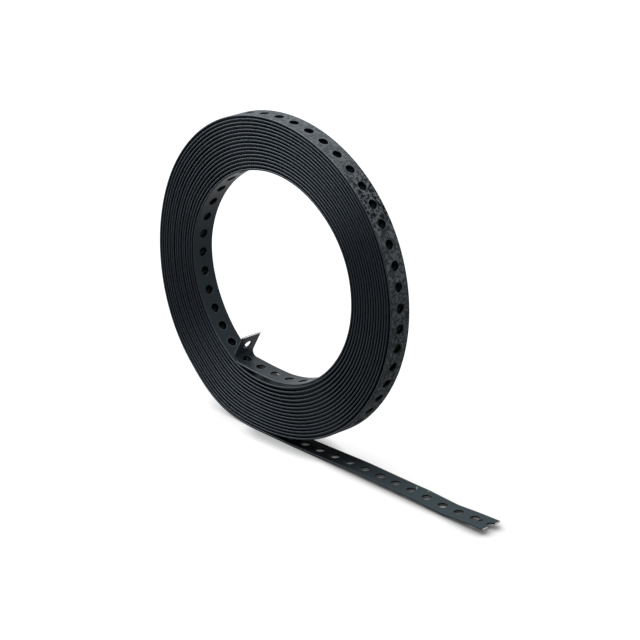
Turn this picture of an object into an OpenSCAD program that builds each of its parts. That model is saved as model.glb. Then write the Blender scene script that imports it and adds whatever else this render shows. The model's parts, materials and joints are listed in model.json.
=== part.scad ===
// Coil of perforated steel strap that stands on its rim, with its outer end
// run out along the floor and its inner end bent into the bore.
// X runs along the loose end, Y along the coil's axis, Z up. The origin is on the
// floor, under the spot where the outermost turn leaves the coil.

/* [Strap] */
// Width of the strap
strap_w = 17; // [12:0.5:25]
// Thickness of the strap with its coating
strap_t = 1.3; // [0.8:0.05:1.9]
// Diameter of the punched holes
hole_d = 6.5; // [4:0.1:8]
// Distance between hole centres along the strap
hole_pitch = 13.7; // [10:0.1:20]

/* [Coil] */
// Diameter of the bore
bore_d = 148; // [110:1:220]
// Number of turns
turns = 16; // [6:1:24]
// Radial distance from one turn to the next
turn_pitch = 2.25; // [2:0.05:3]
// Depth of the gaps between the turns, on each end of the coil
gap_depth = 2.5; // [1:0.1:4]

/* [Loose outer end] */
// Length that lies flat where the strap leaves the coil
flat_len = 24.5; // [10:0.5:40]
// Length of the rising run
rise_len = 54; // [30:0.5:90]
// Length of the level run on top of the wave
crest_len = 51; // [20:0.5:90]
// Length of the falling run
fall_len = 20.8; // [15:0.1:60]
// Length from the dip to the cut end
end_len = 32; // [15:0.5:60]
// Height of the wave above the floor
wave_h = 2; // [0.5:0.1:5]
// Radius of the soft bends in the wave
wave_r = 50; // [20:1:100]
// Slope of the cut end, in degrees
end_slope = 2; // [0.5:0.1:6]

/* [Bent inner end] */
// Height of the end's lowest point above the innermost turn's lowest point
lift_h = 3.5; // [2.5:0.1:6]
// How much tighter than the innermost turn the strap runs where it lifts off
lift_ease = 10.5; // [6:0.5:20]
// Slope of the straight run towards the tab, in degrees
run_tilt = 4; // [0:0.5:10]
// Place of the bent tab round the bore, in degrees from the right-hand side
tab_angle = 244; // [225:1:255]
// Radius inside the tab's bend
bend_r = 3.5; // [2:0.1:7]
// Straight length of the tab
tab_len = 14.8; // [10.5:0.1:25]
// Distance from the tab's cut end to the first hole's centre
tab_hole = 8.7; // [4.5:0.1:10]

/* [Hidden] */
$fn = 180;

// Extra reach of a hole's cutter past the face that it starts from
cut_over = 0.3;
// Largest turn between two points of a bend, in degrees
bend_step = 3;

// Right half-turns and left half-turns have centres half a pitch apart, so
// that each half-turn runs smoothly into the next one
right_r0 = bore_d / 2 + strap_t / 2;
left_r0 = right_r0 + turn_pitch / 2;
outer_step = (turns - 1) * turn_pitch;
left_z = left_r0 + outer_step + strap_t / 2;
right_z = left_z + turn_pitch / 2;

// The inner end lifts off the innermost turn by a tighter arc, runs straight to the left,
// and bends up into a tab that points to the middle of the coil
lift_angle = acos((lift_ease - lift_h) / lift_ease);
lift_r = right_r0 - lift_ease;
bend_mid_r = bend_r + strap_t / 2;
tab_heading = tab_angle - 180;

// The bend's centre, from the middle of the coil, if the straight run had no length
bend_x = lift_ease * sin(lift_angle) - (lift_r - bend_mid_r) * sin(run_tilt);
bend_z = -lift_ease * cos(lift_angle) - (lift_r - bend_mid_r) * cos(run_tilt);
run_len = (bend_x * sin(tab_heading) - bend_z * cos(tab_heading) - bend_mid_r) / sin(tab_heading + run_tilt);

// A move along the strap is [length, turn]: straight where turn is 0, else an arc
// of that many degrees, to the left where positive. A pose is [x, z, heading].
function arc(r, turn) = [r * abs(turn) * PI / 180, turn];
function signed_r(move) = move[0] * 180 / (move[1] * PI);
function ahead(pose, move) =
    move[1] == 0
    ? [pose[0] + move[0] * cos(pose[2]), pose[1] + move[0] * sin(pose[2]), pose[2]]
    : let (r = signed_r(move), h = pose[2] + move[1])
      [pose[0] + r * (sin(h) - sin(pose[2])), pose[1] - r * (cos(h) - cos(pose[2])), h];
function part_of(move, s) = [s, move[1] * s / move[0]];
function pose_at(start, moves, s, i = 0) =
    s <= moves[i][0] || i == len(moves) - 1
    ? ahead(start, part_of(moves[i], s))
    : pose_at(ahead(start, moves[i]), moves, s - moves[i][0], i + 1);
function length_of(moves, i = 0) = i == len(moves) ? 0 : moves[i][0] + length_of(moves, i + 1);

// Poses along a run: the ends of its straight stretches, and steps round its arcs
function steps_in(move) = move[1] == 0 ? 1 : 1 + ceil(abs(move[1]) / bend_step);
function run_poses(start, moves, i = 0) =
    i == len(moves)
    ? [start]
    : let (n = steps_in(moves[i]))
      concat(
          [for (k = [0 : n - 1]) ahead(start, part_of(moves[i], moves[i][0] * k / n))],
          run_poses(ahead(start, moves[i]), moves, i + 1)
      );
function beside(pose, d) = [pose[0] - d * sin(pose[2]), pose[1] + d * cos(pose[2])];

// Slope of a straight run that climbs to a height between two soft bends
function slope_to(height, run, r) =
    2 * atan((sqrt(run * run + (4 * r - height) * height) - run) / (4 * r - height));

// The strap from the floor spot outward, to its cut end
rise_slope = slope_to(wave_h, rise_len, wave_r);
fall_slope = slope_to(wave_h, fall_len, wave_r);
tail_start = [0, strap_t / 2, 0];
tail = [
    [flat_len, 0],
    arc(wave_r, rise_slope),
    [rise_len, 0],
    arc(wave_r, -rise_slope),
    [crest_len, 0],
    arc(wave_r, -fall_slope),
    [fall_len, 0],
    arc(wave_r, fall_slope + end_slope),
    [end_len, 0]
];
tail_len = length_of(tail);

// The outermost turn, from the floor spot back into the coil
outer_start = [0, strap_t / 2, 180];
outer_turn = [
    arc(left_r0 + outer_step, -180),
    arc(right_r0 + outer_step, -180)
];

// The innermost half-turn, from the bore's highest point to the tab's cut end
inner_start = [0, right_z + right_r0, 0];
inner_end = [
    arc(right_r0, lift_angle - 180),
    arc(lift_r, -lift_angle - run_tilt),
    [run_len, 0],
    arc(bend_mid_r, tab_heading + run_tilt - 180),
    [tab_len, 0]
];
inner_len = length_of(inner_end);

// The half-turn before it, from the bore's highest point down its left side
lining_start = [0, right_z + right_r0, 180];
lining = [arc(left_r0, 180 - hole_d / left_r0 * 180 / PI)];

module at(pose) {
    translate([pose[0], 0, pose[1]])
        rotate([0, -pose[2], 0])
            children();
}

// Rectangle section of the strap at a radius
module section(r) {
    translate([r - strap_t / 2, -strap_w / 2])
        square([strap_t, strap_w]);
}

// A run of strap, extruded across its width from its outline seen from the side
module strap_run(start, moves) {
    poses = run_poses(start, moves);
    outline = concat(
        [for (pose = poses) beside(pose, strap_t / 2)],
        [for (i = [len(poses) - 1 : -1 : 0]) beside(poses[i], -strap_t / 2)]
    );
    rotate([90, 0, 0])
        linear_extrude(strap_w, center = true)
            polygon(outline);
}

// Rectangle that closes the gaps between turns, behind the ends of the coil
module closing(r, reach) {
    translate([r, gap_depth - strap_w / 2])
        square([reach, strap_w - 2 * gap_depth]);
}

// Half of the coil: turns at full width from one of them outward, closed between them
module half_coil(centre_z, r0, first_angle, first_turn) {
    translate([0, 0, centre_z])
        rotate([90, 0, 0])
            rotate_extrude(angle = 180, start = first_angle) {
                closing(r0 + first_turn * turn_pitch, outer_step - first_turn * turn_pitch);
                for (i = [first_turn : turns - 1]) {
                    section(r0 + i * turn_pitch);
                }
            }
}

// What closes the innermost gap on the right, up to where the inner end lifts off
module inner_closing() {
    translate([0, 0, right_z])
        rotate([90, 0, 0])
            rotate_extrude(angle = 180 - lift_angle, start = lift_angle - 90)
                closing(right_r0, turn_pitch - strap_t / 4);
}

// Round cutter across the strap, from below to above on the left of the heading
module hole(pose, below, above) {
    at(pose)
        translate([0, 0, -below])
            cylinder(d = hole_d, h = below + above);
}

module tail_holes() {
    through = strap_t / 2 + cut_over;
    for (s = [tail_len : -hole_pitch : 0]) {
        hole(pose_at(tail_start, tail, s), through, through);
    }
}

// Holes of the outermost turn, down to the turn beneath it
module outer_holes() {
    first = ceil(tail_len / hole_pitch) * hole_pitch - tail_len;
    for (s = [first : hole_pitch : length_of(outer_turn)]) {
        hole(pose_at(outer_start, outer_turn, s), turn_pitch - strap_t / 2, strap_t / 2 + cut_over);
    }
}

// Holes of the innermost half-turn and its bent end: down to the turn behind it, and
// right through it where it stands free
module inner_end_holes() {
    for (s = [inner_len - tab_hole : -hole_pitch : 0]) {
        free = s > inner_end[0][0];
        reach = free ? strap_t / 2 + cut_over : turn_pitch - strap_t / 2;
        hole(pose_at(inner_start, inner_end, s), strap_t / 2 + hole_d / 2, reach);
    }
}

// Holes of the half-turn before it, down to the turn behind it
module lining_holes() {
    covered = inner_len - tab_hole;
    first = ceil(covered / hole_pitch) * hole_pitch - covered;
    for (s = [first : hole_pitch : length_of(lining)]) {
        hole(pose_at(lining_start, lining, s), turn_pitch - strap_t / 2, strap_t / 2 + cut_over);
    }
}

module strap() {
    color([0.1, 0.11, 0.12])
        difference() {
            union() {
                half_coil(right_z, right_r0, -90, 1);
                half_coil(left_z, left_r0, 90, 0);
                inner_closing();
                strap_run(tail_start, tail);
                strap_run(inner_start, inner_end);
            }
            tail_holes();
            outer_holes();
            inner_end_holes();
            lining_holes();
        }
}

strap();
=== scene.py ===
"""Coil of perforated steel strap: its coated strip with every punched hole, and the studio it stands in.

The strip is one closed surface in strip coordinates: s along it from the loose end's cut, v across it
and w through it, towards the middle of the coil. A path in the XZ plane carries these into space.
"""

import json
import math

import bpy
import numpy as np
from bpy.props import FloatProperty, FloatVectorProperty, IntProperty, PointerProperty
from mathutils import Matrix, Vector


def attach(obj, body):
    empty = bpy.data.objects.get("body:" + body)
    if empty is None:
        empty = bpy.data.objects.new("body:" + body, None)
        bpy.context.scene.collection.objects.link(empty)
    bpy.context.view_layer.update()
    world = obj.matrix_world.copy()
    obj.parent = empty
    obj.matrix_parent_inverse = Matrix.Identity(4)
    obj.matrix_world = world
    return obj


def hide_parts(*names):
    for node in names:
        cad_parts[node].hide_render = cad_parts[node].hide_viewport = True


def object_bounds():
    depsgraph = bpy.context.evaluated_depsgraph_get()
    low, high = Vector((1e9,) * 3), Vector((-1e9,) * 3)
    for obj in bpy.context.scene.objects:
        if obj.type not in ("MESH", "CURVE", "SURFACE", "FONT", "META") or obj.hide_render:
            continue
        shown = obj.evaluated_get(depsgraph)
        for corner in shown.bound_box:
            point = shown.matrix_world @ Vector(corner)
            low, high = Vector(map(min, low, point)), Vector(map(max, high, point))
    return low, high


bl_info = {
    "name": "Perforated strap coil",
    "version": (1, 0, 0),
    "blender": (4, 5, 0),
    "location": "View3D > Sidebar > Strap",
    "description": "Builds a coil of coated perforated strap and the studio around it",
    "category": "Object",
}

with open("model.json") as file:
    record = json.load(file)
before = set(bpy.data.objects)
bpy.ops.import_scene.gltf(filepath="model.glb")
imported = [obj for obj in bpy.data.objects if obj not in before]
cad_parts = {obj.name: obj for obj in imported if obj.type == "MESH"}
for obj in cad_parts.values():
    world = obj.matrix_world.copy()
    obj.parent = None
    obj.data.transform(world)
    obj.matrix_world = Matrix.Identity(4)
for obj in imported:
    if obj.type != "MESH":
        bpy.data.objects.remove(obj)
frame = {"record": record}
CAD_LOW, CAD_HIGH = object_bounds()

MM = 0.001
BODY = "root"
STRAP_NODE = "strap"
HOLE_PAIR = next(m for m in frame["record"]["mounts"] if m["kind"] == "bolt_pattern")["dims"]

# Faces across the strap's width, round each of its edges, and along a hole's cell
ACROSS = 6
AROUND = 4
ALONG_SHOWN = 8
ALONG_HIDDEN = 4
ALONG_HALF = 4

# Faces round a ring that closes gaps, and how much of the innermost turn lies close to the next one
RING_STEPS = 180
LINED_SPAN = 0.93

# Width of the face ring round a hole, in radii of its edge, and half the height of its straight wall
FACE_RING = 3
WALL_HALF = 0.4 * MM

# Wear of a hole's edge, and of the strap's edge between its two corners; these wear masks also place the
# painted edge highlight
HOLE_WEAR_AND_HIGHLIGHT = 0.25
MIDDLE_WEAR_AND_HIGHLIGHT = 0.35

# Length over which a shown stretch begins or ends, and how many inner turns show their inner side
STRETCH_STEP = 5 * MM
LINING_TURNS = 1.15

# Middle and half-width of each form of the loose winding, in turns from the foot by way of the left
SPRING_SPAN = (0.8, 0.2)
BULGE_SPAN = (0.16, 0.12)
LIFT_SPAN = (0.91, 0.17)
FOLLOW_SPAN = (0.97, 0.16)
FOOT_LEFT = (0.06, 0.06)
FOOT_RIGHT = (0.91, 0.09)
WANDER_SPAN = (0.2, 0.3)

# Turns over which the sway begins, the slack begins and ends, and the forms end before the inner end
SWAY_BEGIN = (0, 0.12)
SLACK_BEGIN = (0.055, 0.1)
SLACK_END = (0.7, 0.58)
INNER_END = (0.04, -0.04)
FOLLOW_END = (-0.3, -0.5)

# Direction of the sway's crest, waves of the wander in a turn, its least share, and the end that is all up
SWAY_CREST = math.radians(122)
WANDER_WAVES = 2.37
WANDER_LEAST = 0.3
SPRUNG_END = 5 * MM

# Place (s, v), angle, half-length and half-width of the loose end's marks, in mm and degrees
LONG_SCRATCH = ((67.8, 4.6), 52, 3.0, 0.6)
SHORT_SCRATCH = ((59.4, 6.3), 30, 1.1, 0.6)
NICK = ((9.0, 0), 116, 2.2, 1.3)

# Stretches from the loose end's cut: where it goes from painted lighter at the cut to the plain coat in the
# coil's painted shadow, where painted shade turns it black beside the coil, where it joins the coil, and
# where that painted shade ends under the coil
COIL_SHADOW_RAMP = (30 * MM, 150 * MM)
COIL_SHADE_RAMP = (90 * MM, 142 * MM)
JOINED = (150 * MM, 200 * MM)
COIL_SHADE_END = (230 * MM, 200 * MM)
# How black the painted shade beside and under the coil gets
DARKEST_COIL_SHADE = 0.92
# Painted highlight on the loose end's edges
LOOSE_HIGHLIGHT = 0.22

# Heights over which the rim's stains weaken, at its top, which a painted sheen keeps clear of them, and
# lower down, and what is left of them
SHEEN_TOP = (0.865 * CAD_HIGH.z, 0.95 * CAD_HIGH.z)
SHEEN_STAINS = 0.45
LOWER_RIM = (0.82 * CAD_HIGH.z, 0.74 * CAD_HIGH.z)
LOWER_STAINS = 0.72

# Direction of the light whose highlight is painted on edges that face it, how squarely an edge faces it,
# and the painted shade that thins that highlight towards the lower right
HIGHLIGHT_FROM = (-0.35, 0, 0.94)
HIGHLIGHT_CATCH = (0.05, 0.7)
LOWER_RIGHT = (0.707, 0, -0.707)
LOWER_RIGHT_SHADE = (-0.266 * CAD_HIGH.z, 0.098 * CAD_HIGH.z)
LOWER_RIGHT_HIGHLIGHT = 0.45

# Noise levels of blotches and specks, their shares in the coating's shade and peel, and the peel's height
BLOTCH_LEVELS = (0.43, 0.54)
SPECK_LEVELS = (0.47, 0.72)
SPECK_SHADE = 0.25
BLOTCH_PEEL = 0.6
PEEL_HEIGHT = 0.05 * MM

# Brightness of the steel's dull specks, and the range of its roughness
DULL_STEEL = 0.7
STEEL_ROUGHNESS = (0.32, 0.5)

# Contact shade on the floor: its power left and right of a stretch at the foot, and its limit
FOOT_STRETCH = (-20 * MM, 5 * MM)
SHADE_POWER = (0.3, 3.2)
SHADE_LIMIT = 0.5

# In metres: where the floor turns white, what the lamps face, and each lamp's place and side
FLOOR_FADE = (0.6, 3.0)
LAMP_TARGET = (0, 0, 0.1)
LEFT_LAMP = ((-1.1, -0.1, 1.4), 1.0)
BACK_LAMP = ((-0.7, 1.2, 1.2), 1.2)
TOP_LAMP = ((0, 0, 1.9), 0.5)
KEY_LAMP = ((0.1, -0.8, 1.7), 0.6)
RIGHT_LAMP = ((1.6, 0.3, 0.7), 0.8)


def millimetres(name, description, value):
    """A length property with its default in millimetres."""
    return FloatProperty(name=name, description=description, default=value * MM, unit="LENGTH", precision=5)


def degrees(name, description, value):
    """An angle property with its default in degrees."""
    return FloatProperty(name=name, description=description, default=math.radians(value), unit="ROTATION")


def watts(name, description, value):
    """A property for a lamp's power."""
    return FloatProperty(name=name, description=description, default=value, unit="POWER")


def share(name, description, value):
    """A property from 0 to 1."""
    return FloatProperty(name=name, description=description, default=value, min=0, max=1, subtype="FACTOR")


def colour(name, description, value):
    """A colour property, in linear light."""
    return FloatVectorProperty(
        name=name, description=description, default=value, size=3, min=0, max=1, subtype="COLOR"
    )


class StrapSizes(bpy.types.PropertyGroup):
    """Sizes of the strap, its coil and its two ends."""

    width: millimetres("Width", "Width of the strap", (CAD_HIGH.y - CAD_LOW.y) / MM)
    thickness: millimetres("Thickness", "Thickness with the coating", 1.3)
    coat: millimetres("Coating", "Thickness of the coating on each side", 0.2)
    edge_r: millimetres("Edge radius", "Radius of the coated edges", 0.5)
    hole_d: millimetres("Hole", "Diameter of the punched holes", 2 * HOLE_PAIR["hole_r_mm"])
    hole_pitch: millimetres("Hole pitch", "Distance between hole centres", HOLE_PAIR["pcd_mm"])
    hole_edge_r: millimetres("Hole edge radius", "Radius of the coated hole edges", 0.3)
    coil_h: millimetres("Coil height", "Height of the coil on its rim", CAD_HIGH.z / MM)
    turns: IntProperty(name="Turns", description="Number of turns", default=16, min=2)
    turn_pitch: millimetres("Turn pitch", "Radial distance between turns", 2.25)
    gap_depth: millimetres("Gap depth", "Depth of the gaps between the turns, on each end of the coil", 2.5)
    flat_len: millimetres("Flat run", "Length that lies flat beside the coil", 24.5)
    rise_len: millimetres("Rising run", "Length of the rising run", 54)
    crest_len: millimetres("Crest", "Length of the level run on top of the wave", 51)
    fall_len: millimetres("Falling run", "Length of the falling run", 20.8)
    end_len: millimetres("End run", "Length from the dip to the cut end", 32)
    wave_h: millimetres("Wave height", "Height of the wave above the floor", 2)
    wave_r: millimetres("Wave radius", "Radius of the soft bends in the wave", 50)
    end_slope: degrees("End slope", "Slope of the cut end", 2)
    lift_h: millimetres("Lift", "Height of the inner end's lowest point above the turn below it", 3.5)
    lift_ease: millimetres("Lift ease", "How much tighter the strap runs at the inner end's lift-off", 10.5)
    run_tilt: degrees("Run tilt", "Slope of the straight run towards the tab", 4)
    tab_angle: degrees("Tab place", "Place of the bent tab round the bore", 244)
    bend_r: millimetres("Bend radius", "Radius inside the tab's bend", 3.5)
    tab_len: millimetres("Tab length", "Straight length of the tab", 14.8)
    tab_hole: millimetres("Tab hole", "Distance from the tab's cut to its first hole", 8.7)
    outer_sway: millimetres("Outer sway", "How far the outer turns leave a true circle", 1.6)
    outer_spring: millimetres("Outer spring", "How far the outermost turn springs out on the right", 0.5)
    inner_slack: millimetres("Inner slack", "How far the inner turns sink into the bore", 1.05)
    inner_bulge: millimetres("Inner bulge", "Further sinking of the inner turns on the left, low down", 2.0)
    lift_bulge: millimetres("Lift bulge", "Sinking of the inner turns near the lift-off", 2.0)
    lift_follow: millimetres("Lift follow", "How far the turns below follow the lifted inner end", 1.6)
    foot_bulge: millimetres("Foot bulge", "How far the outer turns bulge out left of the foot", 2.4)
    foot_drop: millimetres("Foot drop", "How far the outer turns hang down right of the foot", 0.9)
    wander: millimetres("Wander", "How far the turns between wander in and out", 0.16)
    end_lift: millimetres("End lift", "How far the loose end springs up from the floor", 2.3)
    end_spring: millimetres("End spring", "Length over which the loose end springs up", 75)


class StrapFinish(bpy.types.PropertyGroup):
    """Colours and gloss of the strap."""

    coat: colour("Coat", "Colour of the clean coating", (0.028, 0.037, 0.043))
    # Painted light: the loose end is lighter towards its cut, clear of the coil's painted shadow
    lit_tail_coat: colour("Lit tail coat", "Colour of the coating towards the loose end's cut", (0.052, 0.068, 0.075))
    scuff: colour("Scuffs", "Colour of rubbed coating", (0.126, 0.139, 0.148))
    stain: colour("Stains", "Colour of the stains on rubbed coating", (0.013, 0.015, 0.017))
    edge: colour("Edges", "Colour of the coating on the strap's edges", (0.034, 0.043, 0.054))
    # Painted highlight on edges that face up and left and on the loose end's edges; also the colour of the
    # loose end's scratches
    highlight_and_scratch: colour("Highlight and scratches", "Colour of the edges that face up, where dust lies", (0.225, 0.262, 0.300))
    # Painted shade in the gaps between turns, on the hole walls and under the coil; also the colour of dark
    # specks and the nick
    gap: colour("Gaps", "Colour of the coating in gaps and holes", (0.004, 0.005, 0.006))
    steel: colour("Steel", "Colour of the bare cut steel", (0.62, 0.63, 0.64))
    gloss: share("Coat roughness", "Roughness of the clean coating", 0.38)
    rubbed: share("Scuff roughness", "Roughness of the rubbed coating", 0.50)
    specular: share("Coat specular", "Specular level of the clean coating", 0.06)
    dull_specular: share("Dull specular", "Specular level of the handled coating", 0.002)


class StudioSettings(bpy.types.PropertyGroup):
    """Floor, light and camera."""

    floor: colour("Floor", "Colour of the floor", (0.3, 0.3, 0.3))
    floor_glow: share("Floor glow", "White that the floor adds where it is seen", 0.78)
    contact: millimetres("Contact shade", "Reach of the floor's shade close to the strap", 16)
    sky: FloatProperty(name="Sky", description="Strength of the light from all round", default=0.13, min=0)
    left_power: watts("Left lamp", "Power of the soft lamp on the left", 22)
    back_power: watts("Back lamp", "Power of the soft lamp behind", 4)
    top_power: watts("Top lamp", "Power of the small lamp above", 8)
    key_power: watts("Key lamp", "Power of the soft lamp in front", 13)
    right_power: watts("Right lamp", "Power of the fill lamp on the right", 3)
    camera_place: FloatVectorProperty(
        name="Camera",
        description="Place of the camera",
        default=(1.0809, -1.0803, 0.7051),
        size=3,
        subtype="TRANSLATION",
    )
    azimuth: degrees("Azimuth", "Turn of the camera round the coil", 43.96)
    elevation: degrees("Elevation", "Angle of the camera above the floor", 22.19)
    roll: degrees("Roll", "Lean of the camera", 2.6)
    lens: FloatProperty(name="Lens", description="Focal length on a 36 mm frame, in mm", default=140.13)


def arc(radius, turn):
    """A move along an arc: its length and its turn, positive to the left."""
    return radius * abs(turn), turn


def climb_slope(height, run, radius):
    """Slope of a straight run that climbs to a height between two soft bends of one radius."""
    span = 4 * radius - height
    return 2 * math.atan((math.sqrt(run * run + span * height) - run) / span)


def smooth(value, low, high):
    """A smooth step from 0 at low to 1 at high."""
    t = np.clip((value - low) / (high - low), 0, 1)
    return t * t * (3 - 2 * t)


def lobe(value, centre, half_width):
    """A squared cosine, 1 at its centre and 0 from its half-width on."""
    return np.cos(0.5 * math.pi * np.clip((value - centre) / half_width, -1, 1)) ** 2


def round_lobe(part, centre, half_width):
    """A lobe over parts of a turn, which runs on past the foot."""
    return lobe(part, centre, half_width) + lobe(part, centre - 1, half_width)


class Path:
    """A chain of straight moves and arcs in the XZ plane, walked by its length.

    A move of length l that turns by t ends at its start plus a chord of length l sin(t/2) / (t/2),
    which points half-way between the headings at its two ends.
    """

    def __init__(self, start, moves):
        self.lengths, self.turns = np.array(moves, float).T
        self.starts = np.concatenate([[0], np.cumsum(self.lengths)[:-1]])
        self.headings = start[2] + np.concatenate([[0], np.cumsum(self.turns)[:-1]])
        steps = self.chord(self.lengths, self.headings, self.turns)
        self.points = np.array(start[:2]) + np.vstack([np.zeros(2), np.cumsum(steps, axis=0)[:-1]])
        self.length = self.lengths.sum()

    @staticmethod
    def chord(length, heading, turn):
        """Step from the start of a move to its end."""
        middle = heading + turn / 2
        reach = length * np.sinc(turn / (2 * math.pi))
        return np.stack([reach * np.cos(middle), reach * np.sin(middle)], axis=-1)

    def at(self, s):
        """Points and headings at the lengths s."""
        i = np.clip(np.searchsorted(self.starts, s, side="right") - 1, 0, len(self.starts) - 1)
        ahead = s - self.starts[i]
        turn = self.turns[i] * ahead / self.lengths[i]
        return self.points[i] + self.chord(ahead, self.headings[i], turn), self.headings[i] + turn


class Strip:
    """The strap's path, from the loose end's cut to the tab's cut, and the places of its holes."""

    def __init__(self, sizes):
        self.sizes = sizes
        thick = sizes.thickness
        pitch = sizes.turn_pitch
        rise = climb_slope(sizes.wave_h, sizes.rise_len, sizes.wave_r)
        fall = climb_slope(sizes.wave_h, sizes.fall_len, sizes.wave_r)
        tail = [
            (sizes.flat_len, 0),
            arc(sizes.wave_r, rise),
            (sizes.rise_len, 0),
            arc(sizes.wave_r, -rise),
            (sizes.crest_len, 0),
            arc(sizes.wave_r, -fall),
            (sizes.fall_len, 0),
            arc(sizes.wave_r, fall + sizes.end_slope),
            (sizes.end_len, 0),
        ]
        outward = Path((0, thick / 2, 0), tail)
        self.tail_len = outward.length
        (cut_x, cut_z), cut_heading = outward.at(np.array(self.tail_len))

        # Left and right half-turns have centres half a pitch apart
        left_r = (sizes.coil_h - thick) / 2
        right_r = left_r - pitch / 2
        coil = []
        for i in range(sizes.turns):
            coil += [arc(left_r - i * pitch, -math.pi), arc(right_r - i * pitch, -math.pi)]

        # The inner end lifts off by a tighter arc, runs straight, and bends up into the tab
        inner_r = right_r - (sizes.turns - 1) * pitch
        inner_turn = coil[-2][0] + coil[-1][0]
        ease, tilt = sizes.lift_ease, sizes.run_tilt
        lift = math.acos(1 - sizes.lift_h / ease)
        coil[-1] = arc(inner_r, lift - math.pi)
        bend_r = sizes.bend_r + thick / 2
        tab = sizes.tab_angle - math.pi
        reach = inner_r - ease - bend_r
        bend_x = ease * math.sin(lift) - reach * math.sin(tilt)
        bend_z = -ease * math.cos(lift) - reach * math.cos(tilt)
        inner_end = [
            arc(inner_r - ease, -lift - tilt),
            ((bend_x * math.sin(tab) - bend_z * math.cos(tab) - bend_r) / math.sin(tab + tilt), 0),
            arc(bend_r, tab + tilt - math.pi),
            (sizes.tab_len, 0),
        ]
        home = [(length, -turn) for length, turn in reversed(tail)]
        self.path = Path((cut_x, cut_z, cut_heading + math.pi), home + coil + inner_end)
        self.length = self.path.length
        lengths, bends = np.array(coil).T
        self.half_turns = np.concatenate([[0], np.cumsum(-bends) / (2 * math.pi)])
        self.half_turn_places = self.tail_len + np.concatenate([[0], np.cumsum(lengths)])
        self.coil_end = self.half_turn_places[-1]
        self.bore_d = 2 * inner_r - thick
        self.place_holes(coil[0][0] + coil[1][0], inner_turn)

    def place_holes(self, outer_turn, inner_turn):
        """Hole centres: at one pitch from each cut end, and evenly through the hidden turns between."""
        step = self.sizes.hole_pitch
        last = self.length - self.sizes.tab_hole
        self.outer_count = math.ceil((self.tail_len + outer_turn) / step)
        inner_count = math.ceil((self.length - self.coil_end + inner_turn) / step)
        outer = step * np.arange(self.outer_count + 1)
        inner = last - step * np.arange(inner_count)[::-1]
        hidden = np.linspace(outer[-1], inner[0], round((inner[0] - outer[-1]) / step) + 1)[1:-1]
        self.hidden_count = len(hidden)
        self.holes = np.concatenate([outer, hidden, inner])
        self.cuts = np.append((self.holes[:-1] + self.holes[1:]) / 2, self.length)

    def place_of(self, turn):
        """Place along the strip after a number of turns from the floor spot."""
        return np.interp(turn, self.half_turns, self.half_turn_places)

    def sunk(self, s):
        """How far the strap lies inside its true spiral, as it does in a coil that was wound loosely.

        The outer turns sway in and out three times round, bulge out left of the foot and hang down right
        of it, and the outermost springs out on the right. The inner turns sink into the bore, most of all
        low on the left and on either side of the lift-off, and those below the lifted end follow it. What
        the outer turns do fades inward and what the inner turns do fades outward, the turns between wander
        a little, the inner end keeps its place, and the loose end springs up a little from the floor.
        """
        sizes = self.sizes
        past_coil = np.maximum(s - self.coil_end, 0) / (math.pi * self.bore_d)
        turn = np.interp(s, self.half_turn_places, self.half_turns) + past_coil
        past_end = turn - sizes.turns
        angle = 1.5 * math.pi - 2 * math.pi * turn
        part = turn % 1
        depth = np.clip(turn / (sizes.turns - 1), 0, 1)

        three_lobes = np.sin(angle / 2) ** 2 * np.cos(3 * (angle - SWAY_CREST))
        sway = sizes.outer_sway * three_lobes * (1 - depth) * smooth(turn, *SWAY_BEGIN)
        spring = sizes.outer_spring * lobe(turn, *SPRING_SPAN)
        foot = sizes.foot_bulge * lobe(part, *FOOT_LEFT) + sizes.foot_drop * lobe(part, *FOOT_RIGHT)
        outer_form = sway + spring + foot * (1 - depth)

        slack = sizes.inner_slack * smooth(part, *SLACK_BEGIN) * smooth(part, *SLACK_END)
        bulge = sizes.inner_bulge * lobe(part, *BULGE_SPAN)
        lift = sizes.lift_bulge * round_lobe(part, *LIFT_SPAN)
        inner_form = (slack + bulge) * depth**1.5 + lift * depth**3
        inner_form *= smooth(past_end, *INNER_END)
        follow = sizes.lift_follow * round_lobe(part, *FOLLOW_SPAN) * depth**6
        follow *= smooth(past_end, *FOLLOW_END)

        waves = np.sin(2 * math.pi * WANDER_WAVES * turn) * np.sin(math.pi * depth)
        wander = sizes.wander * waves * (WANDER_LEAST + lobe(part, *WANDER_SPAN))
        end = sizes.end_lift * smooth(s, sizes.end_spring, SPRUNG_END)
        return inner_form + follow + wander + end - outer_form

    def rubbed(self, points):
        """1 on the outer side of the outermost turn and under the loose end, which handling rubs."""
        s, w = points[:, 0], points[:, 2]
        outer_end = self.place_of(1)
        return smooth(w, 0, -self.sizes.thickness / 2) * smooth(s, outer_end, outer_end - STRETCH_STEP)

    def dulled(self, points):
        """1 on the outermost turn's outer side and on both sides of the loose end, which hands dull."""
        return np.maximum(self.rubbed(points), points[:, 0] < self.tail_len)

    def recess_shade(self, points):
        """1 on the sides that face into the gaps between turns and on the holes' walls, where shade is
        painted dark.
        """
        s, v, w = points.T
        inner_start = self.place_of(self.sizes.turns - LINING_TURNS)

        def shown(until, since):
            """1 up to one place on the strip and past another."""
            before = smooth(s, until + STRETCH_STEP, until)
            return np.maximum(before, smooth(s, since, since + STRETCH_STEP))

        shown_inside = shown(self.tail_len, inner_start)
        shown_outside = shown(self.place_of(1), self.coil_end)
        wall = (np.abs(w) < WALL_HALF) & (np.abs(v) < self.sizes.hole_d)
        return np.where(wall, 1.0, 1 - np.where(w > 0, shown_inside, shown_outside))

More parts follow.
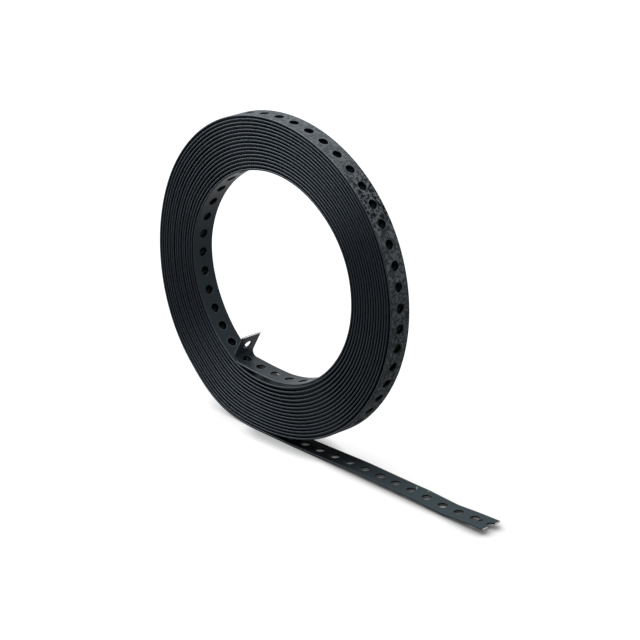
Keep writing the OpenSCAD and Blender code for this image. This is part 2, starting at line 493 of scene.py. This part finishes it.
    def to_space(self, points, normals):
        """Points and normals in strip coordinates, carried along the path and sunk from it."""
        s, v, w = points.T[:, :, None]
        normal_s, normal_v, normal_w = normals.T[:, :, None]
        place, heading = self.path.at(s[:, 0])
        step = 0.1 * MM
        slope = (self.sunk(s + step) - self.sunk(s - step)) / (2 * step)
        along = np.stack([np.cos(heading), np.zeros_like(heading), np.sin(heading)], axis=1)
        inward = np.stack([np.sin(heading), np.zeros_like(heading), -np.cos(heading)], axis=1)
        across = np.array([0.0, 1.0, 0.0])
        spots = inward * (w + self.sunk(s)) + across * v
        spots[:, 0] += place[:, 0]
        spots[:, 2] += place[:, 1]
        facing = along * (normal_s - slope * normal_w) + across * normal_v
        facing += inward * (normal_w + slope * normal_s)
        return spots, facing


def section_ring(sizes):
    """Points (0, v, w) and normals round the strap's section, a rectangle with round corners.

    Along the inner side to +v, round that edge by half a circle that is drawn apart to the strap's
    thickness, back along the outer side, and round the other edge.
    """
    half_w = sizes.width / 2 - sizes.edge_r
    half_t = sizes.thickness / 2
    apart = half_t - sizes.edge_r
    flat = np.linspace(-half_w, half_w, ACROSS + 1)
    angle = np.radians(np.linspace(90, -90, AROUND + 1)[1:-1])
    edge_v = half_w + sizes.edge_r * np.cos(angle)
    edge_w = np.sign(np.round(angle, 6)) * apart + sizes.edge_r * np.sin(angle)
    v = np.concatenate([flat, edge_v, -flat, -edge_v])
    w = np.concatenate([np.full(ACROSS + 1, half_t), edge_w, np.full(ACROSS + 1, -half_t), -edge_w])
    normal_v = np.concatenate([0 * flat, np.cos(angle), 0 * flat, -np.cos(angle)])
    normal_w = np.concatenate([0 * flat + 1, np.sin(angle), 0 * flat - 1, -np.sin(angle)])
    zero = np.zeros_like(v)
    return np.stack([zero, v, w], axis=1), np.stack([zero, normal_v, normal_w], axis=1)


def hole_loops(sizes, shown):
    """Circles of a hole from its inner side to its outer side: radius, w, outward pull, lift and wear.

    A shown hole has a ring on the face, then a quarter circle into the wall, and the same on the far side.
    """
    radius = sizes.hole_d / 2
    half_t = sizes.thickness / 2
    if not shown:
        slant = math.sqrt(0.5)
        return np.array([(radius, half_t, -slant, slant, 0), (radius, -half_t, -slant, -slant, 0)])
    edge = sizes.hole_edge_r
    into = np.radians([0, 45, 90])
    bend = np.stack(
        [
            radius + edge * (1 - np.sin(into)),
            half_t - edge * (1 - np.cos(into)),
            -np.sin(into),
            np.cos(into),
            np.full(3, HOLE_WEAR_AND_HIGHLIGHT),
        ],
        axis=1,
    )
    ring = np.array([(radius + (1 + FACE_RING) * edge, half_t, 0, 1, 0)])
    near = np.vstack([ring, bend])
    far = near[::-1] * (1, -1, 1, -1, 1)
    return np.vstack([near, far])


def strips(loops, closed):
    """Quads between each loop of point numbers and the next."""
    ahead = np.roll(loops, -1, axis=1)
    quads = np.stack([loops[:-1], ahead[:-1], ahead[1:], loops[1:]], axis=-1)
    if not closed:
        quads = quads[:, :-1]
    return quads.reshape(-1, 4)


def sheet_quads(grid):
    """Quads of a grid of point numbers."""
    return np.stack([grid[:-1, :-1], grid[:-1, 1:], grid[1:, 1:], grid[1:, :-1]], axis=-1).reshape(-1, 4)


def circle_points(centres, angles, loops):
    """Points, normals and wear on the holes' circles, as arrays of cells by loops by angles."""
    radius, w, pull, lift, wear = loops.T[:, None, :, None]
    cos, sin = np.cos(angles), np.sin(angles)
    shape = (len(centres), len(loops), len(angles))
    spots = (centres[:, None, None] + radius * cos, radius * sin, w)
    facing = (pull * cos, pull * sin, lift)
    points = np.stack([np.broadcast_to(a, shape) for a in spots], axis=-1)
    normals = np.stack([np.broadcast_to(a, shape) for a in facing], axis=-1)
    return points, normals, np.broadcast_to(wear, shape)


def section_numbers():
    """Places in the section ring of the points on its +v edge, -v edge, inner face and outer face."""
    plus = ACROSS + np.arange(AROUND + 1)
    minus = (plus + ACROSS + AROUND) % (2 * (ACROSS + AROUND))
    inner_face = np.arange(ACROSS + 1)
    return plus, minus, inner_face, ACROSS + AROUND + inner_face


def ring_wear_and_highlight(normals):
    """Wear of section points, which also places the painted edge highlight: full on the corners, a third
    between them, none on the flats.

    Twice the product of the normal's two parts, plus a high power of its part across the strap.
    """
    side, face = np.abs(normals[:, 1]), np.abs(normals[:, 2])
    return 2 * side * face + MIDDLE_WEAR_AND_HIGHLIGHT * side**8


def punched_cells(sizes, starts, ends, centres, along, loops):
    """Cells of strap with one hole each, which start with a section ring and end on the next cell's.

    On each side of the strap, faces run in loops from the cell's edge to the hole, and through it.
    """
    ring, ring_normals = section_ring(sizes)
    plus, minus, inner_face, outer_face = section_numbers()
    count, size = len(starts), len(ring)

    # A whole section at the start, and then its two edges at every step along
    edges = np.concatenate([np.arange(size), np.tile(np.concatenate([plus, minus]), along - 1)])
    share_along = np.concatenate([np.zeros(size), np.repeat(np.arange(1, along) / along, 2 * len(plus))])
    edge_points = np.broadcast_to(ring[edges], (count, len(edges), 3)).copy()
    edge_points[..., 0] = starts[:, None] + (ends - starts)[:, None] * share_along
    edge_normals = np.broadcast_to(ring_normals[edges], edge_points.shape)
    edge_wear_and_highlight = np.tile(ring_wear_and_highlight(ring_normals[edges]), (count, 1))

    total = 2 * (ACROSS + along)
    angles = math.pi + math.pi * ACROSS / total - 2 * math.pi * np.arange(total) / total
    circles, circle_normals, circle_wear = circle_points(centres, angles, loops)
    points = np.concatenate([edge_points, circles.reshape(count, -1, 3)], axis=1)
    normals = np.concatenate([edge_normals, circle_normals.reshape(count, -1, 3)], axis=1)
    wear = np.concatenate([edge_wear_and_highlight, circle_wear.reshape(count, -1)], axis=1)

    stride = points.shape[1]
    between = np.arange(size, len(edges)).reshape(along - 1, 2, AROUND + 1)
    plus_side = np.vstack([plus, between[:, 0], stride + plus])
    minus_side = np.vstack([minus, between[:, 1], stride + minus])
    inner_edge = np.concatenate(
        [inner_face, plus_side[1:-1, 0], stride + inner_face[::-1], minus_side[-2:0:-1, -1]]
    )
    outer_edge = np.concatenate(
        [outer_face[::-1], plus_side[1:-1, -1], stride + outer_face, minus_side[-2:0:-1, 0]]
    )
    circle_numbers = np.arange(len(edges), stride).reshape(-1, total)
    rows = np.vstack([inner_edge, circle_numbers, outer_edge])
    quads = np.vstack([strips(rows, True), sheet_quads(plus_side), sheet_quads(minus_side)])
    every = (quads[None] + stride * np.arange(count)[:, None, None]).reshape(-1, 4)
    return points.reshape(-1, 3), normals.reshape(-1, 3), wear.ravel(), every


def half_cell(sizes, end, loops):
    """The strap's first half pitch, cut through the middle of a hole, with the outlines of its two cuts.

    Half circles run from the +v cut to the -v cut, inside the outline of the strap's two sides.
    """
    ring, ring_normals = section_ring(sizes)
    plus, minus, inner_face, outer_face = section_numbers()
    edges = np.tile(np.concatenate([plus, minus]), ALONG_HALF)
    edge_points, edge_normals = ring[edges], ring_normals[edges]
    edge_points[:, 0] = end * np.repeat(np.arange(ALONG_HALF) / ALONG_HALF, 2 * len(plus))
    total = 2 * ALONG_HALF + ACROSS + 1
    angles = np.linspace(math.pi / 2, -math.pi / 2, total)
    circles, circle_normals, circle_wear = circle_points(np.zeros(1), angles, loops)
    points = np.vstack([edge_points, circles.reshape(-1, 3)])
    normals = np.vstack([edge_normals, circle_normals.reshape(-1, 3)])
    wear = np.concatenate([ring_wear_and_highlight(edge_normals), circle_wear.ravel()])

    stride = len(points)
    between = np.arange(len(edges)).reshape(ALONG_HALF, 2, AROUND + 1)
    plus_side = np.vstack([between[:, 0], stride + plus])
    minus_side = np.vstack([between[:, 1], stride + minus])
    inner_edge = np.concatenate([plus_side[:-1, 0], stride + inner_face[::-1], minus_side[-2::-1, -1]])
    outer_edge = np.concatenate([plus_side[:-1, -1], stride + outer_face, minus_side[-2::-1, 0]])
    circle_numbers = np.arange(len(edges), stride).reshape(-1, total)
    rows = np.vstack([inner_edge, circle_numbers, outer_edge])
    quads = np.vstack([strips(rows, False), sheet_quads(plus_side), sheet_quads(minus_side)])
    plus_cut = np.concatenate([rows[:, 0], plus_side[0, -2:0:-1]])
    minus_cut = np.concatenate([rows[::-1, -1], minus_side[0, -2:0:-1]])
    return points, normals, wear, quads, (plus_cut, minus_cut)


def closing_ring(strip, outer, inner, span, low, high):
    """A ring that closes the gaps between turns, from the strap's middle at one turn to that at another.

    Its section is a rectangle from low to high across the coil, and it runs on by a span of turns.
    """
    turn = np.linspace(0, span, RING_STEPS + 1)
    from_outer, from_inner = strip.place_of(outer + turn), strip.place_of(inner + turn)
    s = np.stack([from_outer, from_outer, from_inner, from_inner], axis=1)
    v = np.broadcast_to((high, low, low, high), s.shape)
    zero = np.zeros_like(s)
    points = np.stack([s, v, zero], axis=-1).reshape(-1, 3)
    normals = np.stack([zero, np.where(v == high, 1.0, -1.0), zero], axis=-1).reshape(-1, 3)
    loops = np.arange(len(points)).reshape(-1, 4)
    quads = np.vstack([strips(loops, True), loops[:1, ::-1], loops[-1:]])
    return points, normals, np.zeros(len(points)), quads


class StripMesh:
    """Points, normals, wear and faces of the strip, gathered block by block in strip coordinates."""

    def __init__(self):
        self.points = np.zeros((0, 3))
        self.normals = np.zeros((0, 3))
        self.wear = np.zeros(0)
        self.quads = np.zeros((0, 4), int)
        self.cut_quads = np.zeros((0, 4), int)
        self.steel = []

    def add(self, points, normals, wear, quads):
        """Adds a block whose quads count from its own first point."""
        first = len(self.points)
        self.points = np.vstack([self.points, points])
        self.normals = np.vstack([self.normals, normals])
        self.wear = np.concatenate([self.wear, wear])
        self.quads = np.vstack([self.quads, quads + first])

    def close(self, outline, coat):
        """Closes a cut: a rim as thick as the coating, drawn in along the normals, round bare steel."""
        first = len(self.points)
        inset = first + np.arange(len(outline))
        self.points = np.vstack([self.points, self.points[outline] - coat * self.normals[outline]])
        self.normals = np.vstack([self.normals, self.normals[outline]])
        self.wear = np.concatenate([self.wear, np.zeros(len(outline))])
        self.cut_quads = np.vstack([self.cut_quads, strips(np.vstack([outline, inset]), True)])
        self.steel.append(inset)


def strip_mesh(strip):
    """The whole strip: the notched end, shown cells, hidden cells, shown cells, and the tab's cut."""
    sizes = strip.sizes
    fine = hole_loops(sizes, True)
    plain = hole_loops(sizes, False)
    mesh = StripMesh()
    points, normals, wear, quads, notch_cuts = half_cell(sizes, strip.cuts[0], fine)
    mesh.add(points, normals, wear, quads)
    outer = slice(0, strip.outer_count)
    hidden = slice(strip.outer_count, strip.outer_count + strip.hidden_count)
    inner = slice(strip.outer_count + strip.hidden_count, None)
    runs = ((outer, ALONG_SHOWN, fine), (hidden, ALONG_HIDDEN, plain), (inner, ALONG_SHOWN, fine))
    for run, along, loops in runs:
        starts, ends = strip.cuts[:-1][run], strip.cuts[1:][run]
        mesh.add(*punched_cells(sizes, starts, ends, strip.holes[1:][run], along, loops))
    ring, ring_normals = section_ring(sizes)
    ring[:, 0] = strip.length
    last = len(mesh.points) + np.arange(len(ring))
    mesh.add(ring, ring_normals, ring_wear_and_highlight(ring_normals), np.zeros((0, 4), int))
    mesh.close(last, sizes.coat)
    for cut in notch_cuts:
        mesh.close(cut, sizes.coat)

    # Rings that close the gaps, which take the painted gap shade: clear of the holes in the outermost and
    # the innermost gap, and right across in the others
    reach = sizes.width / 2 - sizes.gap_depth
    clear = sizes.hole_d / 2 + (1 + FACE_RING) * sizes.hole_edge_r
    last_turn = sizes.turns - 1
    mesh.add(*closing_ring(strip, 1, last_turn - 1, 1, -reach, reach))
    for low, high in ((-reach, -clear), (clear, reach)):
        mesh.add(*closing_ring(strip, 0, 1, 1, low, high))
        mesh.add(*closing_ring(strip, last_turn - 1, last_turn, LINED_SPAN, low, high))
    return mesh


def placed(name, data):
    """A new object at the scene's origin."""
    item = bpy.data.objects.new(name, data)
    bpy.context.scene.collection.objects.link(item)
    return item


def mesh_object(name, strip, mesh, materials):
    """A mesh object of the strip, with smooth normals on the coating and flat ones on the cuts.

    The materials are the clean coating, the handled coating and the steel of the cuts, in this order.
    """
    points, normals = strip.to_space(mesh.points, mesh.normals)
    quads = np.vstack([mesh.quads, mesh.cut_quads])
    faces = quads.tolist() + [list(outline) for outline in mesh.steel]
    data = bpy.data.meshes.new(name)
    data.from_pydata(points.tolist(), [], faces)
    data.update()
    rounded = np.zeros(len(faces), bool)
    rounded[: len(mesh.quads)] = True
    data.polygons.foreach_set("use_smooth", rounded)
    steel_slot = len(materials) - 1
    slots = np.full(len(faces), steel_slot, np.int32)
    slots[: len(quads)] = strip.dulled(mesh.points)[quads].mean(axis=1) > 0.5
    data.polygons.foreach_set("material_index", slots)
    for material in materials:
        data.materials.append(material)
    strip_place = data.attributes.new("strip_place", "FLOAT_VECTOR", "POINT")
    strip_place.data.foreach_set("vector", mesh.points.astype(np.float32).ravel())
    shades = {
        "edge_wear_and_highlight": mesh.wear,
        "rubbed": strip.rubbed(mesh.points),
        "recess_shade": strip.recess_shade(mesh.points),
    }
    for shade, values in shades.items():
        attribute = data.attributes.new(shade, "FLOAT", "POINT")
        attribute.data.foreach_set("value", values.astype(np.float32))

    corner_points = np.zeros(len(data.loops), np.int32)
    data.loops.foreach_get("vertex_index", corner_points)
    corner_normals = normals[corner_points]
    face_normals = np.zeros(len(faces) * 3, np.float32)
    data.polygons.foreach_get("normal", face_normals)
    flat_from = 4 * len(mesh.quads)
    corner_counts = np.zeros(len(faces), np.int32)
    data.polygons.foreach_get("loop_total", corner_counts)
    owners = np.repeat(np.arange(len(faces)), corner_counts)
    corner_normals[flat_from:] = face_normals.reshape(-1, 3)[owners[flat_from:]]
    data.normals_split_custom_set(corner_normals.tolist())
    return placed(name, data)


class Nodes:
    """A node tree with short calls for adding nodes and values."""

    def __init__(self, tree):
        self.tree = tree

    def add(self, kind, inputs=(), **settings):
        """Adds a node, with settings on the node and values or links on its inputs."""
        node = self.tree.nodes.new(kind)
        for name, value in settings.items():
            setattr(node, name, value)
        for name, value in dict(inputs).items():
            if isinstance(value, bpy.types.NodeSocket):
                self.tree.links.new(value, node.inputs[name])
            else:
                node.inputs[name].default_value = value
        return node

    def math(self, operation, first, second=0.0):
        """The result of a Math node."""
        return self.add("ShaderNodeMath", {0: first, 1: second}, operation=operation).outputs[0]

    def dot(self, vector, direction):
        """The reach of a vector along a direction."""
        node = self.add("ShaderNodeVectorMath", {0: vector, 1: direction}, operation="DOT_PRODUCT")
        return node.outputs["Value"]

    def ramp(self, value, low, high, to_low=0.0, to_high=1.0):
        """A value taken smoothly from one range to another."""
        inputs = {"Value": value, "From Min": low, "From Max": high, "To Min": to_low, "To Max": to_high}
        return self.add("ShaderNodeMapRange", inputs, interpolation_type="SMOOTHSTEP").outputs["Result"]

    def mix(self, factor, first, second):
        """A mix of two colours. On a Mix node, colours have the inputs 6 and 7 and the output 2."""
        return self.add("ShaderNodeMix", {0: factor, 6: first, 7: second}, data_type="RGBA").outputs[2]

    def attribute(self, name):
        """A point attribute's node outputs."""
        return self.add("ShaderNodeAttribute", attribute_name=name).outputs

    def axis(self, vector, name):
        """One axis of a vector."""
        return self.add("ShaderNodeSeparateXYZ", {"Vector": vector}).outputs[name]

    def length(self, vector):
        """The length of a vector."""
        return self.add("ShaderNodeVectorMath", {0: vector}, operation="LENGTH").outputs["Value"]


def rgba(value):
    """A colour with full alpha."""
    return (*value, 1.0)


def grain_group():
    """Node group of grain on the strip: blotches and fine specks, each from 0 to 1."""
    group = bpy.data.node_groups.new("strip grain", "ShaderNodeTree")
    for name in ("Blotches", "Specks"):
        group.interface.new_socket(name, in_out="OUTPUT", socket_type="NodeSocketFloat")
    group.interface.new_socket("Place", in_out="INPUT", socket_type="NodeSocketVector")
    nodes = Nodes(group)
    place = nodes.add("NodeGroupInput").outputs["Place"]
    blotch = nodes.add(
        "ShaderNodeTexNoise",
        {"Vector": place, "Scale": 420, "Detail": 3, "Roughness": 0.6, "Distortion": 0.8},
    )
    speck = nodes.add("ShaderNodeTexNoise", {"Vector": place, "Scale": 1150, "Detail": 2, "Roughness": 0.6})
    sockets = {
        "Blotches": nodes.ramp(blotch.outputs["Fac"], *BLOTCH_LEVELS),
        "Specks": nodes.ramp(speck.outputs["Fac"], *SPECK_LEVELS),
    }
    nodes.add("NodeGroupOutput", sockets)
    return group


def material_nodes(name):
    """A new material and its emptied node tree."""
    material = bpy.data.materials.new(name)
    material.use_nodes = True
    material.node_tree.nodes.clear()
    return material, Nodes(material.node_tree)


def mark(nodes, place, middle, angle, half_length, half_width):
    """A mask of one long mark on the strip, at (s, v) and turned by an angle from the strip's run."""
    spot = (middle[0] * MM, middle[1] * MM, 0)
    size = (half_length * MM, half_width * MM, 1)
    turned = nodes.add(
        "ShaderNodeMapping",
        {"Vector": place, "Location": spot, "Rotation": (0, 0, math.radians(angle)), "Scale": size},
        vector_type="TEXTURE",
    )
    return nodes.ramp(nodes.length(turned.outputs[0]), 1.0, 0.6)


def calm_colour(nodes, finish, place, along):
    """Coating that isn't rubbed: painted lighter towards the loose end's cut, clear of the coil's painted
    shadow, scratched and nicked on the loose end, and painted black with shade beside the coil.
    """
    # Painted light: lighter at the loose end's cut, going to the plain coat where the coil's shadow falls
    clean = nodes.mix(nodes.ramp(along, *COIL_SHADOW_RAMP), rgba(finish.lit_tail_coat), rgba(finish.coat))
    long_scratch, short_scratch = mark(nodes, place, *LONG_SCRATCH), mark(nodes, place, *SHORT_SCRATCH)
    scratches = nodes.math("MAXIMUM", long_scratch, short_scratch)
    # The scratches take the pale colour of the painted edge highlight
    scratched = nodes.mix(scratches, clean, rgba(finish.highlight_and_scratch))
    nicked = nodes.mix(mark(nodes, place, *NICK), scratched, rgba(finish.gap))
    # Painted shade: the loose end turns black beside and under the coil
    coil_shade = nodes.ramp(along, *COIL_SHADE_RAMP, 0.0, DARKEST_COIL_SHADE)
    shade_under_coil = nodes.math("MULTIPLY", coil_shade, nodes.ramp(along, *COIL_SHADE_END))
    return nodes.mix(shade_under_coil, nicked, rgba(finish.gap))


def worn_colour(nodes, finish, height, blotches):
    """Rubbed coating with stains, which are weaker on the coil's top as a painted sheen, and low down."""
    # Painted sheen: fewer stains on the rim's top
    sheen = nodes.ramp(height, *SHEEN_TOP, 1.0, SHEEN_STAINS)
    dirty = nodes.math("MULTIPLY", sheen, nodes.ramp(height, *LOWER_RIM, 1.0, LOWER_STAINS))
    stained = nodes.math("MULTIPLY", blotches, dirty)
    return nodes.mix(stained, rgba(finish.scuff), rgba(finish.stain))


def edge_colour(nodes, finish, spot, along):
    """Coating on the strap's edges: a painted highlight on the coil where they face up and left, thinned by
    painted shade towards the lower right, and evenly on the loose end.
    """
    facing = nodes.add("ShaderNodeNewGeometry").outputs["Normal"]
    # Painted highlight where an edge faces the light from up and left
    facing_light = nodes.ramp(nodes.dot(facing, HIGHLIGHT_FROM), *HIGHLIGHT_CATCH)
    # Painted shade that thins the highlight towards the coil's lower right
    shaded_right = nodes.ramp(nodes.dot(spot, LOWER_RIGHT), *LOWER_RIGHT_SHADE, 1.0, LOWER_RIGHT_HIGHLIGHT)
    shaded_highlight = nodes.math("MULTIPLY", facing_light, shaded_right)
    coil_highlight = nodes.math("MULTIPLY", shaded_highlight, nodes.ramp(along, *JOINED))
    highlight_and_scratch = nodes.math("MAXIMUM", coil_highlight, nodes.ramp(along, *JOINED, LOOSE_HIGHLIGHT, 0.0))
    return nodes.mix(highlight_and_scratch, rgba(finish.edge), rgba(finish.highlight_and_scratch))


def coat_material(name, finish, grain, specular):
    """Black coating: rubbed pale and stained on its outer side, calm inside, painted darkest with shade in
    the gaps and holes, and with a painted highlight on its edges.
    """
    material, nodes = material_nodes(name)
    place = nodes.attribute("strip_place")["Vector"]
    edge, rubbed, recess_shade = (nodes.attribute(shade)["Fac"] for shade in ("edge_wear_and_highlight", "rubbed", "recess_shade"))
    marks = nodes.add("ShaderNodeGroup", {"Place": place}, node_tree=grain).outputs
    spot = nodes.add("ShaderNodeTexCoord").outputs["Object"]
    along = nodes.axis(place, "X")
    specks = nodes.math("MULTIPLY", marks["Specks"], SPECK_SHADE)
    calm = nodes.mix(specks, calm_colour(nodes, finish, place, along), rgba(finish.gap))
    worn = worn_colour(nodes, finish, nodes.axis(spot, "Z"), marks["Blotches"])
    body = nodes.mix(rubbed, calm, worn)
    # Painted shade in the gaps between turns and in the holes
    shaded = nodes.mix(recess_shade, body, rgba(finish.gap))
    # Edges take the edge colour with its painted highlight, where worn
    base = nodes.mix(edge, shaded, edge_colour(nodes, finish, spot, along))
    rough = nodes.ramp(rubbed, 0.0, 1.0, finish.gloss, finish.rubbed)
    peel = nodes.math("ADD", nodes.math("MULTIPLY", marks["Blotches"], BLOTCH_PEEL), marks["Specks"])
    bump = nodes.add("ShaderNodeBump", {"Height": peel, "Strength": 0.25, "Distance": PEEL_HEIGHT})
    normal = bump.outputs["Normal"]
    sockets = {"Base Color": base, "Roughness": rough, "Specular IOR Level": specular, "Normal": normal}
    shader = nodes.add("ShaderNodeBsdfPrincipled", sockets)
    nodes.add("ShaderNodeOutputMaterial", {"Surface": shader.outputs[0]})
    return material


def steel_material(finish, grain):
    """Bare sheared steel of the cut ends, bright and specked."""
    material, nodes = material_nodes("cut steel")
    place = nodes.attribute("strip_place")["Vector"]
    marks = nodes.add("ShaderNodeGroup", {"Place": place}, node_tree=grain).outputs
    dull = tuple(DULL_STEEL * part for part in finish.steel)
    base = nodes.mix(marks["Specks"], rgba(dull), rgba(finish.steel))
    rough = nodes.ramp(marks["Blotches"], 0.0, 1.0, *STEEL_ROUGHNESS)
    specks = {"Height": marks["Specks"], "Strength": 0.4, "Distance": PEEL_HEIGHT}
    bump = nodes.add("ShaderNodeBump", specks).outputs["Normal"]
    sockets = {"Base Color": base, "Roughness": rough, "Metallic": 1.0, "Normal": bump}
    shader = nodes.add("ShaderNodeBsdfPrincipled", sockets)
    nodes.add("ShaderNodeOutputMaterial", {"Surface": shader.outputs[0]})
    return material


def seen_directly(nodes):
    """1 for the rays of the camera, of gloss and through glass, and 0 for the rest."""
    rays = nodes.add("ShaderNodeLightPath").outputs
    seen = nodes.math("MAXIMUM", rays["Is Camera Ray"], rays["Is Glossy Ray"])
    return nodes.math("MAXIMUM", seen, rays["Is Transmission Ray"])


def floor_material(studio):
    """Plain pale floor, whiter where it is seen than where it lights the strap, and white far away.

    Close to the strap, the white falls with a power of how open the floor is, down to half of that share.
    """
    material, nodes = material_nodes("studio floor")
    pale = nodes.add("ShaderNodeBsdfDiffuse", {"Color": rgba(studio.floor)})
    open_floor = nodes.add("ShaderNodeAmbientOcclusion", {"Distance": studio.contact}).outputs["AO"]
    spot = nodes.add("ShaderNodeTexCoord").outputs["Object"]
    strength = nodes.ramp(nodes.axis(spot, "X"), *FOOT_STRETCH, *SHADE_POWER)
    limit = nodes.math("MULTIPLY", open_floor, SHADE_LIMIT)
    shade = nodes.math("MAXIMUM", nodes.math("POWER", open_floor, strength), limit)
    bright = nodes.math("MULTIPLY", seen_directly(nodes), shade)
    white = nodes.ramp(nodes.length(spot), *FLOOR_FADE, studio.floor_glow, 1.0)
    level = nodes.math("MULTIPLY", bright, white)
    glow = nodes.add("ShaderNodeEmission", {"Color": (1, 1, 1, 1), "Strength": level})
    shader = nodes.add("ShaderNodeAddShader", {0: pale.outputs[0], 1: glow.outputs[0]})
    nodes.add("ShaderNodeOutputMaterial", {"Surface": shader.outputs[0]})
    return material


def white_sky(studio):
    """Light from all round, seen as white by the camera, by gloss and through glass."""
    world = bpy.data.worlds.new("studio sky")
    world.use_nodes = True
    world.node_tree.nodes.clear()
    nodes = Nodes(world.node_tree)
    level = nodes.ramp(seen_directly(nodes), 0.0, 1.0, studio.sky, 1.0)
    sky = nodes.add("ShaderNodeBackground", {"Color": (1, 1, 1, 1), "Strength": level})
    nodes.add("ShaderNodeOutputWorld", {"Surface": sky.outputs[0]})
    bpy.context.scene.world = world


def soft_lamp(name, place, side, power):
    """A square soft lamp that faces the coil's lower half."""
    data = bpy.data.lights.new(name, "AREA")
    data.shape = "SQUARE"
    data.size = side
    data.energy = power
    lamp = placed(name, data)
    lamp.location = place
    lamp.rotation_euler = (Vector(LAMP_TARGET) - Vector(place)).to_track_quat("-Z", "Y").to_euler()


def studio_camera(studio):
    """The camera, turned by its azimuth and elevation and then rolled about its own view."""
    turn, tilt, roll = studio.azimuth, studio.elevation, studio.roll
    back = Vector((math.sin(turn) * math.cos(tilt), -math.cos(turn) * math.cos(tilt), math.sin(tilt)))
    level = Vector((math.cos(turn), math.sin(turn), 0))
    upright = back.cross(level)
    right = math.cos(roll) * level + math.sin(roll) * upright
    up = math.cos(roll) * upright - math.sin(roll) * level
    data = bpy.data.cameras.new("camera")
    data.lens = studio.lens
    data.sensor_width = 36
    camera = placed("camera", data)
    turned = Matrix((right, up, back)).transposed().to_4x4()
    camera.matrix_world = Matrix.Translation(Vector(studio.camera_place)) @ turned
    bpy.context.scene.camera = camera


def floor_object(material, half_side):
    """A square floor at the height of the coil's foot, as a grid of one face."""
    x, y = np.meshgrid((-half_side, half_side), (-half_side, half_side))
    points = np.stack([x.ravel(), y.ravel(), np.zeros(4)], axis=1)
    data = bpy.data.meshes.new("floor")
    data.from_pydata(points.tolist(), [], [(0, 1, 3, 2)])
    data.materials.append(material)
    return placed("floor", data)


class STRAP_OT_strip(bpy.types.Operator):
    """Build the coated strip with all its turns, holes and cut ends"""

    bl_idname = "strap.strip"
    bl_label = "Strap"

    def execute(self, context):
        sizes, finish = context.scene.strap_sizes, context.scene.strap_finish
        grain = grain_group()
        strip = Strip(sizes)
        materials = (
            coat_material("coated strap", finish, grain, finish.specular),
            coat_material("handled strap", finish, grain, finish.dull_specular),
            steel_material(finish, grain),
        )
        piece = mesh_object("strap_strip", strip, strip_mesh(strip), materials)
        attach(piece, BODY)
        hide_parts(STRAP_NODE)
        return {"FINISHED"}


class STRAP_OT_stage(bpy.types.Operator):
    """Build the floor, the light and the camera"""

    bl_idname = "strap.stage"
    bl_label = "Stage"

    def execute(self, context):
        studio = context.scene.strap_studio
        context.scene.view_settings.view_transform = "Standard"
        floor_object(floor_material(studio), half_side=8)
        white_sky(studio)
        soft_lamp("left lamp", *LEFT_LAMP, studio.left_power)
        soft_lamp("back lamp", *BACK_LAMP, studio.back_power)
        soft_lamp("top lamp", *TOP_LAMP, studio.top_power)
        soft_lamp("key lamp", *KEY_LAMP, studio.key_power)
        soft_lamp("right lamp", *RIGHT_LAMP, studio.right_power)
        studio_camera(studio)
        return {"FINISHED"}


class STRAP_PT_panel(bpy.types.Panel):
    """Sidebar panel with the strap's values and operators"""

    bl_label = "Perforated strap"
    bl_idname = "STRAP_PT_panel"
    bl_space_type = "VIEW_3D"
    bl_region_type = "UI"
    bl_category = "Strap"

    def draw(self, context):
        for group in (context.scene.strap_sizes, context.scene.strap_finish, context.scene.strap_studio):
            box = self.layout.box()
            for name in group.__annotations__:
                box.prop(group, name)
        self.layout.operator(STRAP_OT_strip.bl_idname)
        self.layout.operator(STRAP_OT_stage.bl_idname)


CLASSES = (StrapSizes, StrapFinish, StudioSettings, STRAP_OT_strip, STRAP_OT_stage, STRAP_PT_panel)


def register():
    for cls in CLASSES:
        bpy.utils.register_class(cls)
    bpy.types.Scene.strap_sizes = PointerProperty(type=StrapSizes)
    bpy.types.Scene.strap_finish = PointerProperty(type=StrapFinish)
    bpy.types.Scene.strap_studio = PointerProperty(type=StudioSettings)


def unregister():
    del bpy.types.Scene.strap_studio
    del bpy.types.Scene.strap_finish
    del bpy.types.Scene.strap_sizes
    for cls in reversed(CLASSES):
        bpy.utils.unregister_class(cls)


def main():
    """Builds the strap and its stage."""
    register()
    bpy.ops.strap.strip()
    bpy.ops.strap.stage()


if __name__ == "__main__":
    main()
